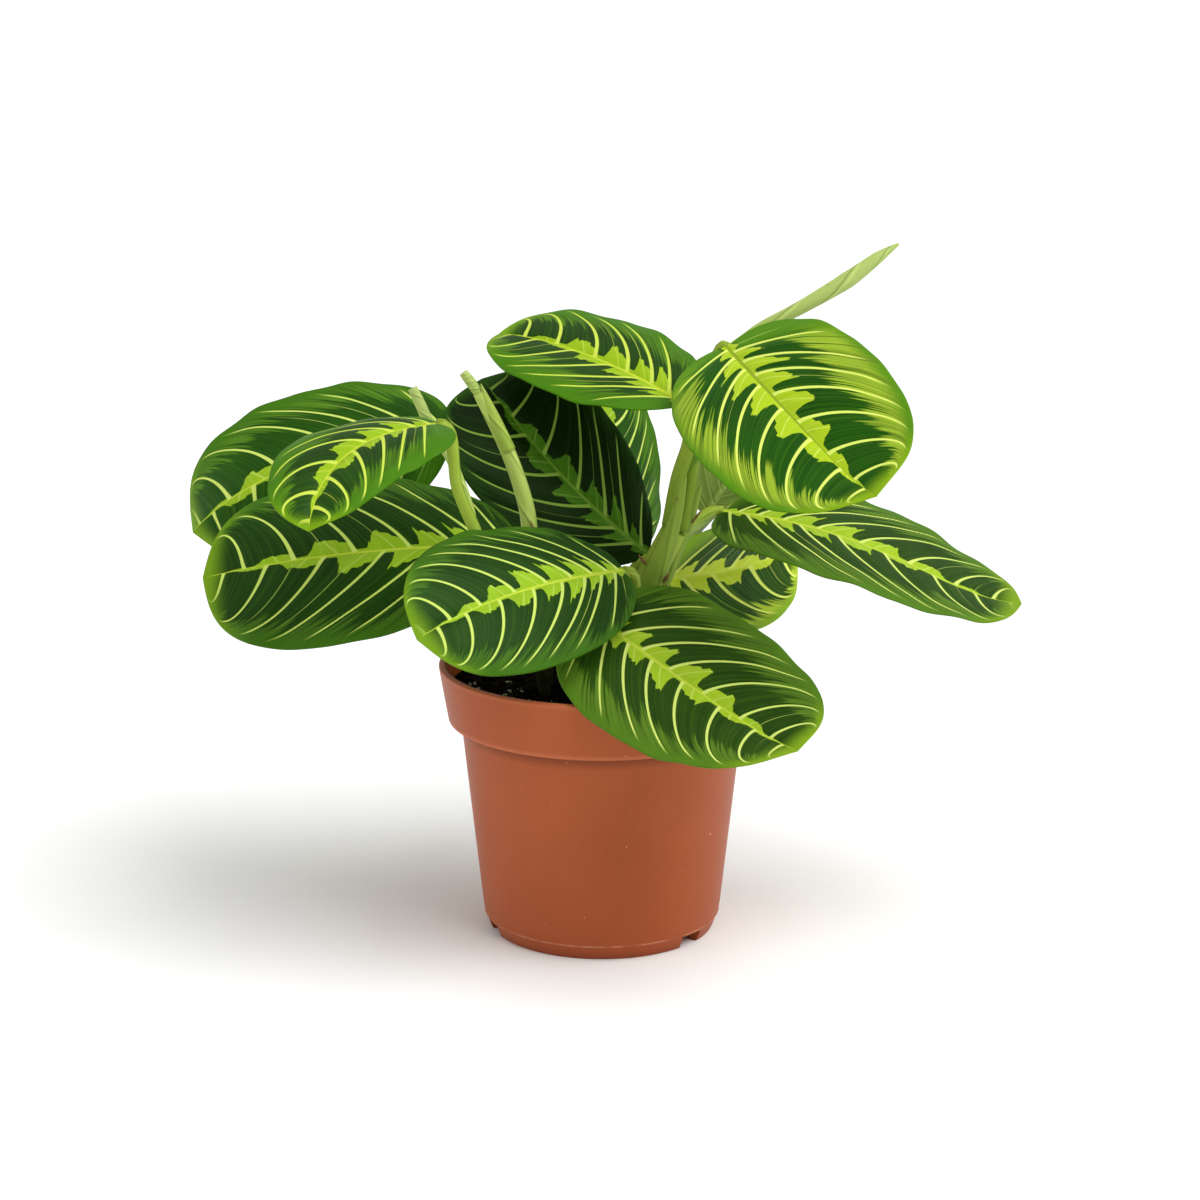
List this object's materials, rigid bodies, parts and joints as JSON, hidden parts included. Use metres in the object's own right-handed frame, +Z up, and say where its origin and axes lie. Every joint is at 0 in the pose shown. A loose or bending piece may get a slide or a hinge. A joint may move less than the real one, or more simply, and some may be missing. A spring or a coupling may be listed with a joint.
{
  "type": "potted prayer plant",
  "caption": "Potted prayer plant: broad patterned leaves on slender stalks and rolled new leaves, rooted in soil in a plain round plastic nursery pot with a deep rim.",
  "frame": {"origin": "on the pot's axis at the level of the surface that the pot stands on; the middle of the plant's bounding box lies within two millimetres of it", "axes": "+Z up along the pot's axis, +X towards the viewer's right across the widest spread of the leaves, -Y towards the front"},
  "size_m": [0.3139, 0.2071, 0.2524],
  "materials": {
    "pot_plastic": "satin moulded terracotta-coloured plastic",
    "peat_soil": "rough, dry peat with pale perlite grains",
    "leaf_dark_green": "satin leaf, dark green with yellow-green veins and midrib band",
    "leaf_young_green": "satin leaf, lighter green with broad yellow-green streaks",
    "stalk_green": "satin pale green stalk",
    "rolled_leaf_green": "satin pale yellow-green rolled leaf"
  },
  "bodies": {
    "root": {"pot": "pot_plastic", "soil": "peat_soil", "leaf_back_left": "leaf_dark_green", "leaf_young_left": "leaf_young_green", "leaf_low_left": "leaf_dark_green", "leaf_front_left": "leaf_dark_green", "leaf_front_right": "leaf_dark_green", "leaf_back_centre": "leaf_dark_green", "leaf_behind": "leaf_dark_green", "leaf_top_left": "leaf_young_green", "leaf_top_right": "leaf_young_green", "leaf_right": "leaf_dark_green", "leaf_low_right": "leaf_young_green", "leaf_hidden_right": "leaf_dark_green", "petiole_back_left": "stalk_green", "petiole_young_left": "stalk_green", "petiole_low_left": "stalk_green", "petiole_front_left": "stalk_green", "petiole_front_right": "stalk_green", "petiole_back_centre": "stalk_green", "petiole_behind": "stalk_green", "petiole_top_left": "stalk_green", "petiole_top_right": "stalk_green", "petiole_right": "stalk_green", "petiole_low_right": "stalk_green", "petiole_hidden_right": "stalk_green", "stem_clump": "stalk_green", "sheath_centre": "stalk_green", "rolled_leaf_centre": "rolled_leaf_green", "rolled_leaf_left": "rolled_leaf_green", "rolled_leaf_right": "rolled_leaf_green"}
  },
  "joints": []
}
